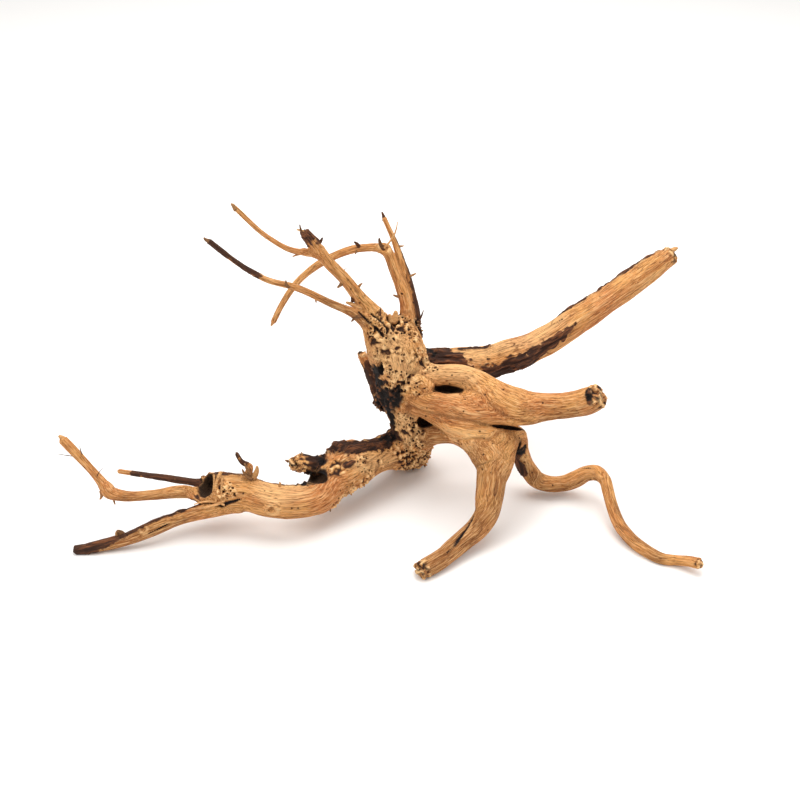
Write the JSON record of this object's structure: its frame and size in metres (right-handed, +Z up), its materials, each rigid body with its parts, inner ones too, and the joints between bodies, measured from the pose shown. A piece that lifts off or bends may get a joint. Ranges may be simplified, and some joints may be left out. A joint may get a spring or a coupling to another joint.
{
  "type": "dry root",
  "caption": "Dry branching root, grown as one piece, with twigs, a hollow stub and winding legs; stands free on its own limbs.",
  "frame": {"origin": "bottom centre of the root's box, on the surface that it stands on", "axes": "+X along the root's length, from the hollow left end to the two thick branches; +Z up"},
  "size_m": [0.432, 0.2038, 0.2286],
  "materials": {
    "wood": "matt"
  },
  "bodies": {
    "root": {"dry_root": "wood"}
  },
  "joints": []
}
